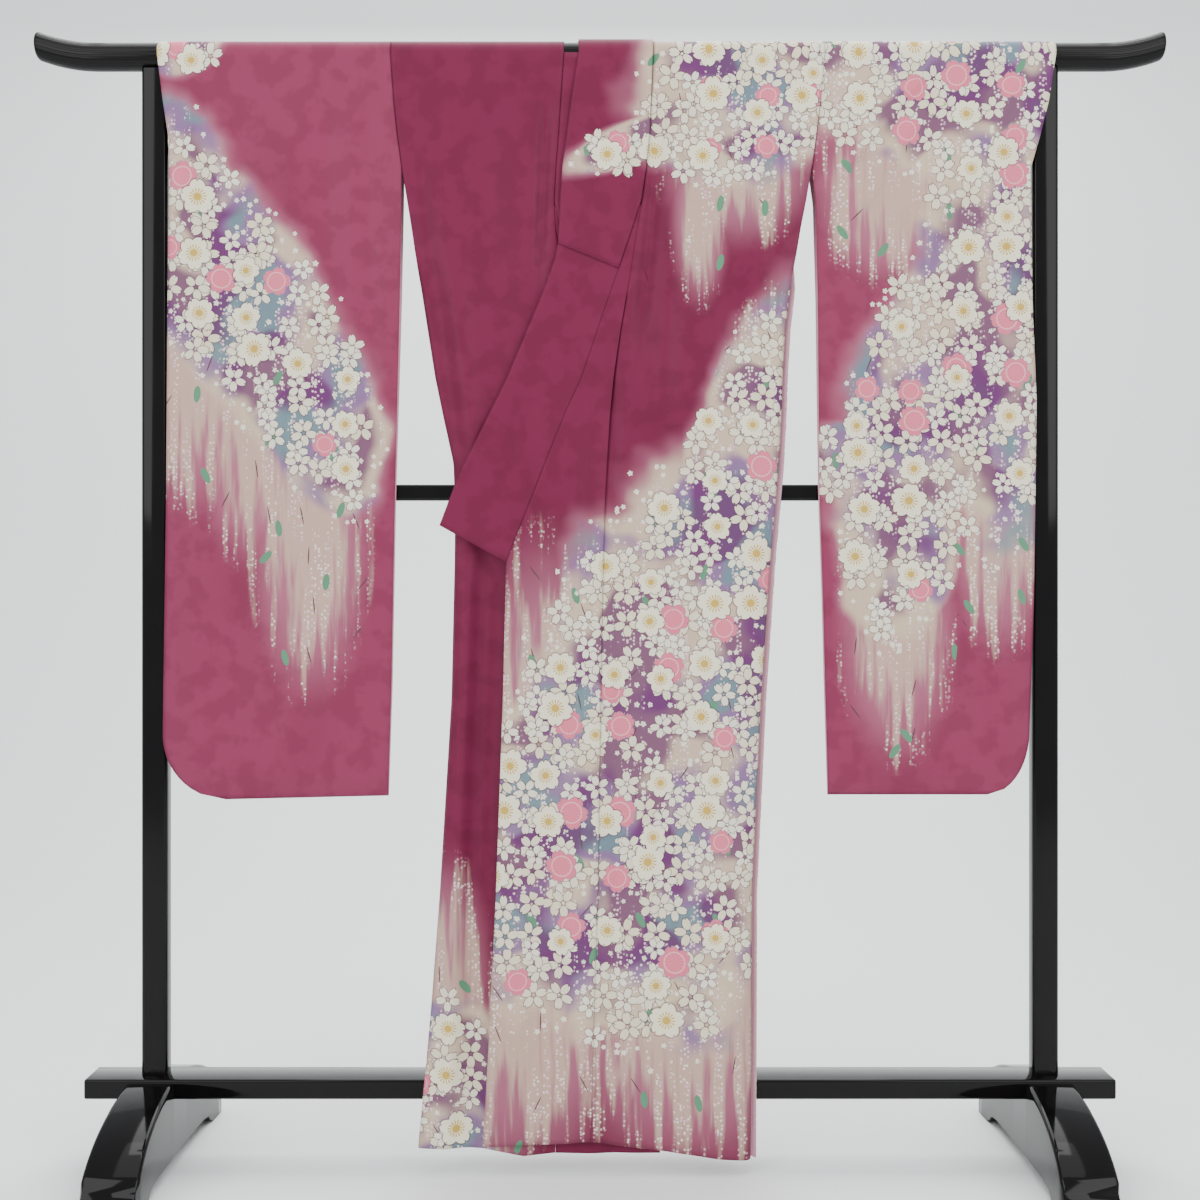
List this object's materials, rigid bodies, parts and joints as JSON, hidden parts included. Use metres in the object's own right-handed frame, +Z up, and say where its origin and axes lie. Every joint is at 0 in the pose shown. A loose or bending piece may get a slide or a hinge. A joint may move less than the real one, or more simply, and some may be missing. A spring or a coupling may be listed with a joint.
{
  "type": "silk kimono on a kimono stand",
  "caption": "Long-sleeved silk kimono hung with its fronts crossed over a lacquered kimono stand, sleeves spread along the top bar.",
  "frame": {"origin": "on the floor, under the middle of the whole object's box", "axes": "+Z up; X along the top bar, the wearer's left sleeve on +X; the fronts face -Y"},
  "size_m": [1.65, 0.49, 1.6534],
  "materials": {
    "body_silk": "rose silk crepe with a soft sheen, white and pink blossoms",
    "collar_silk": "plain rose silk crepe with a soft sheen",
    "sleeve_silk": "rose silk crepe with a soft sheen, white and pink blossoms",
    "lacquer": "black gloss lacquer on wood"
  },
  "bodies": {
    "root": {"right_body": "body_silk", "left_body": "body_silk", "right_overlap": "body_silk", "left_overlap": "body_silk", "collar_right": "collar_silk", "collar_left": "collar_silk", "overcollar": "collar_silk", "right_sleeve": "sleeve_silk", "left_sleeve": "sleeve_silk", "stand_top_bar": "lacquer", "stand_middle_rail": "lacquer", "stand_base_beam": "lacquer", "stand_post_right": "lacquer", "stand_post_left": "lacquer", "stand_foot_right": "lacquer", "stand_foot_left": "lacquer"}
  },
  "joints": []
}
